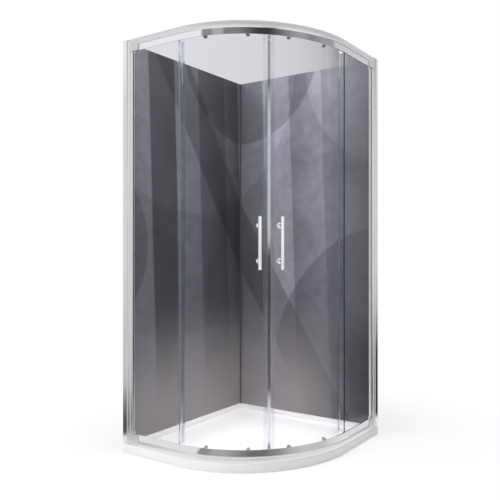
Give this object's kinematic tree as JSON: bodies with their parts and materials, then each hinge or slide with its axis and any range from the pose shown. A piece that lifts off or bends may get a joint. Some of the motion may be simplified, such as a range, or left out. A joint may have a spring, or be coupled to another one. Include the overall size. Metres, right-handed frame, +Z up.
{
  "type": "quadrant shower cabin",
  "caption": "Quadrant shower cabin: low white tray, two slate-grey back panels, chrome frame, fixed side glass and curved glass doors that slide apart on rollers.",
  "frame": {"origin": "middle of the square that the cabin stands on, at the floor", "axes": "+Z up; +Y towards the back wall; -X towards the left wall; the curved front faces between -Y and +X"},
  "size_m": [0.9, 0.9, 1.94],
  "materials": {
    "tray_white": "glossy white stone resin with a fine satin floor",
    "drain_chrome": "polished chrome",
    "rubber": "matt rubber",
    "panel_slate": null,
    "profile_dark": "dark anodised",
    "polished_aluminium": "polished, anodised silver",
    "grey_plastic": "satin grey plastic",
    "clear_glass": "clear safety glass with a faint grey tint",
    "magnet": "magnet strip with a bright metal face",
    "clear_seal": "translucent soft plastic",
    "steel": "bare stainless steel",
    "white_plastic": "glossy white plastic",
    "chrome": "polished chrome",
    "wheel_nylon": "off-white nylon"
  },
  "bodies": {
    "cabin": {"shower_tray": "tray_white", "drain_body": "drain_chrome", "drain_gasket": "rubber", "left_back_panel": "panel_slate", "right_back_panel": "panel_slate", "corner_profile": "profile_dark", "left_wall_profile": "polished_aluminium", "right_wall_profile": "polished_aluminium", "left_frame_profile": "polished_aluminium", "right_frame_profile": "polished_aluminium", "post_caps": "grey_plastic", "left_glazing_profile": "polished_aluminium", "right_glazing_profile": "polished_aluminium", "left_glass_gasket": "rubber", "right_glass_gasket": "rubber", "top_rail": "polished_aluminium", "bottom_rail": "polished_aluminium", "top_left_bracket": "grey_plastic", "top_right_bracket": "grey_plastic", "bottom_left_bracket": "grey_plastic", "bottom_right_bracket": "grey_plastic", "left_fixed_glass": "clear_glass", "right_fixed_glass": "clear_glass", "left_fixed_seal": "clear_seal", "right_fixed_seal": "clear_seal", "frame_screws": "steel", "screw_caps": "white_plastic", "rail_screws": "steel", "door_stops": "rubber"},
    "left_door": {"left_door_glass": "clear_glass", "left_magnet_seal": "clear_seal", "left_magnet_strip": "magnet", "left_rear_seal": "clear_seal", "left_bottom_seal": "clear_seal", "left_handle_bar": "chrome", "left_handle_posts": "chrome", "left_handle_screws": "chrome", "left_roller_carriers": "steel", "left_lower_guides": "grey_plastic", "left_clamp_caps": "chrome"},
    "right_door": {"right_door_glass": "clear_glass", "right_magnet_seal": "clear_seal", "right_magnet_strip": "magnet", "right_rear_seal": "clear_seal", "right_bottom_seal": "clear_seal", "right_handle_bar": "chrome", "right_handle_posts": "chrome", "right_handle_screws": "chrome", "right_roller_carriers": "steel", "right_lower_guides": "grey_plastic", "right_clamp_caps": "chrome"},
    "drain_cover": {"drain_cover": "drain_chrome"},
    "left_top_wheel_front": {"left_top_wheel_front": "wheel_nylon"},
    "left_top_wheel_rear": {"left_top_wheel_rear": "wheel_nylon"},
    "left_bottom_wheel_front": {"left_bottom_wheel_front": "wheel_nylon"},
    "left_bottom_wheel_rear": {"left_bottom_wheel_rear": "wheel_nylon"},
    "right_top_wheel_front": {"right_top_wheel_front": "wheel_nylon"},
    "right_top_wheel_rear": {"right_top_wheel_rear": "wheel_nylon"},
    "right_bottom_wheel_front": {"right_bottom_wheel_front": "wheel_nylon"},
    "right_bottom_wheel_rear": {"right_bottom_wheel_rear": "wheel_nylon"}
  },
  "joints": [
    {"name": "left_door_travel", "type": "hinge", "parent": "cabin", "child": "left_door", "pos_m": [-0.13, 0.202, 0], "axis": [0, 0, -1], "range_deg": [0, 22.6]},
    {"name": "right_door_travel", "type": "hinge", "parent": "cabin", "child": "right_door", "pos_m": [-0.202, 0.13, 0], "axis": [0, 0, 1], "range_deg": [0, 22.6]},
    {"name": "left_top_wheel_front_spin", "type": "hinge", "parent": "left_door", "child": "left_top_wheel_front", "pos_m": [0.19782, -0.33333, 1.9103], "axis": [0.5664, -0.8241, 0], "range_deg": [-10, 1450]},
    {"name": "left_top_wheel_rear_spin", "type": "hinge", "parent": "left_door", "child": "left_top_wheel_rear", "pos_m": [0.0138, -0.41334, 1.9103], "axis": [0.2164, -0.9763, 0], "range_deg": [-10, 1450]},
    {"name": "left_bottom_wheel_front_spin", "type": "hinge", "parent": "left_door", "child": "left_bottom_wheel_front", "pos_m": [0.19782, -0.33333, 0.0697], "axis": [-0.5664, 0.8241, 0], "range_deg": [-10, 1450]},
    {"name": "left_bottom_wheel_rear_spin", "type": "hinge", "parent": "left_door", "child": "left_bottom_wheel_rear", "pos_m": [0.0138, -0.41334, 0.0697], "axis": [-0.2164, 0.9763, 0], "range_deg": [-10, 1450]},
    {"name": "right_top_wheel_front_spin", "type": "hinge", "parent": "right_door", "child": "right_top_wheel_front", "pos_m": [0.33333, -0.19782, 1.9103], "axis": [-0.8241, 0.5664, 0], "range_deg": [-10, 1450]},
    {"name": "right_top_wheel_rear_spin", "type": "hinge", "parent": "right_door", "child": "right_top_wheel_rear", "pos_m": [0.41334, -0.0138, 1.9103], "axis": [-0.9763, 0.2164, 0], "range_deg": [-10, 1450]},
    {"name": "right_bottom_wheel_front_spin", "type": "hinge", "parent": "right_door", "child": "right_bottom_wheel_front", "pos_m": [0.33333, -0.19782, 0.0697], "axis": [0.8241, -0.5664, 0], "range_deg": [-10, 1450]},
    {"name": "right_bottom_wheel_rear_spin", "type": "hinge", "parent": "right_door", "child": "right_bottom_wheel_rear", "pos_m": [0.41334, -0.0138, 0.0697], "axis": [0.9763, -0.2164, 0], "range_deg": [-10, 1450]},
    {"name": "drain_cover_lift", "type": "slide", "parent": "cabin", "child": "drain_cover", "axis": [0, 0, 1], "range_m": [0, 0.05]}
  ],
  "couplings": [
    {"joint": "left_top_wheel_front_spin", "follows": "left_door_travel", "ratio": 62.772},
    {"joint": "left_top_wheel_rear_spin", "follows": "left_door_travel", "ratio": 63.192},
    {"joint": "left_bottom_wheel_front_spin", "follows": "left_door_travel", "ratio": 62.772},
    {"joint": "left_bottom_wheel_rear_spin", "follows": "left_door_travel", "ratio": 63.192},
    {"joint": "right_top_wheel_front_spin", "follows": "right_door_travel", "ratio": 62.772},
    {"joint": "right_top_wheel_rear_spin", "follows": "right_door_travel", "ratio": 63.192},
    {"joint": "right_bottom_wheel_front_spin", "follows": "right_door_travel", "ratio": 62.772},
    {"joint": "right_bottom_wheel_rear_spin", "follows": "right_door_travel", "ratio": 63.192}
  ]
}
